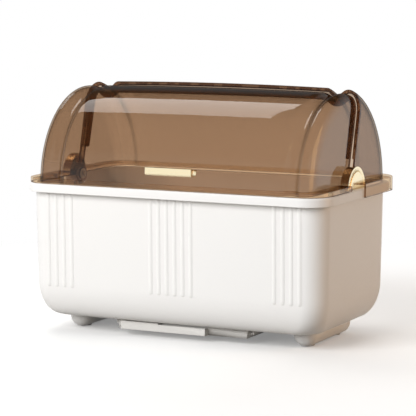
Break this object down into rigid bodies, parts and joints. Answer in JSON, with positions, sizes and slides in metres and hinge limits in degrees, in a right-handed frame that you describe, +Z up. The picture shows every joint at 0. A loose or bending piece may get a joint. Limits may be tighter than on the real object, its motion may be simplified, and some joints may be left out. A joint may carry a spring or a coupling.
{
  "type": "covered dish drying rack",
  "caption": "Tub on runner feet with lift-out racks, a pull-out drip tray and a see-through barrel lid whose front shell turns back inside the rear shell.",
  "frame": {"origin": "on the table, under the middle of the tub", "axes": "+Z up, +X to the right along the tub, the front with the handle and tray pull towards -Y"},
  "size_m": [0.4756, 0.2822, 0.3547],
  "materials": {
    "tub_plastic": "glossy white moulded",
    "tray_plastic": "satin pale grey-white moulded",
    "insert_plastic": "satin white moulded",
    "smoky_clear": "clear smoky brown moulded plastic",
    "gold_metal": "pale gold plated",
    "steel": "plain",
    "soft_pad": "translucent soft"
  },
  "bodies": {
    "root": {"tub": "tub_plastic", "foot_left": "tub_plastic", "foot_right": "tub_plastic", "tray_rail_left": "tray_plastic", "tray_rail_right": "tray_plastic", "hinge_bracket_left": "gold_metal", "hinge_bracket_right": "gold_metal", "hinge_cover_left": "gold_metal", "hinge_cover_right": "gold_metal", "hinge_pin_left": "steel", "hinge_pin_right": "steel", "pin_clips": "steel", "foot_pads": "soft_pad", "foot_screws": "steel", "rail_screws": "steel", "bracket_screws": "steel", "rear_lid": "smoky_clear", "pivot_spacers": "insert_plastic", "pivot_washers": "insert_plastic", "drain_grid": "insert_plastic", "plate_rack_front": "insert_plastic", "plate_rack_rear": "insert_plastic", "bowl_rack": "insert_plastic", "utensil_holder": "insert_plastic", "utensil_divider": "insert_plastic"},
    "lid": {"front_lid": "smoky_clear", "lid_bumpers": "soft_pad", "handle_bar": "gold_metal", "handle_screws": "steel", "handle_washers": "soft_pad"},
    "tray": {"drip_tray": "tray_plastic"}
  },
  "joints": [
    {"name": "lid_hinge", "type": "hinge", "parent": "root", "child": "lid", "pos_m": [0, 0.002, 0.217], "axis": [-1, 0, 0], "range_deg": [0, 70]},
    {"name": "tray_slide", "type": "slide", "parent": "root", "child": "tray", "axis": [0, -1, 0], "range_m": [0, 0.11]}
  ]
}
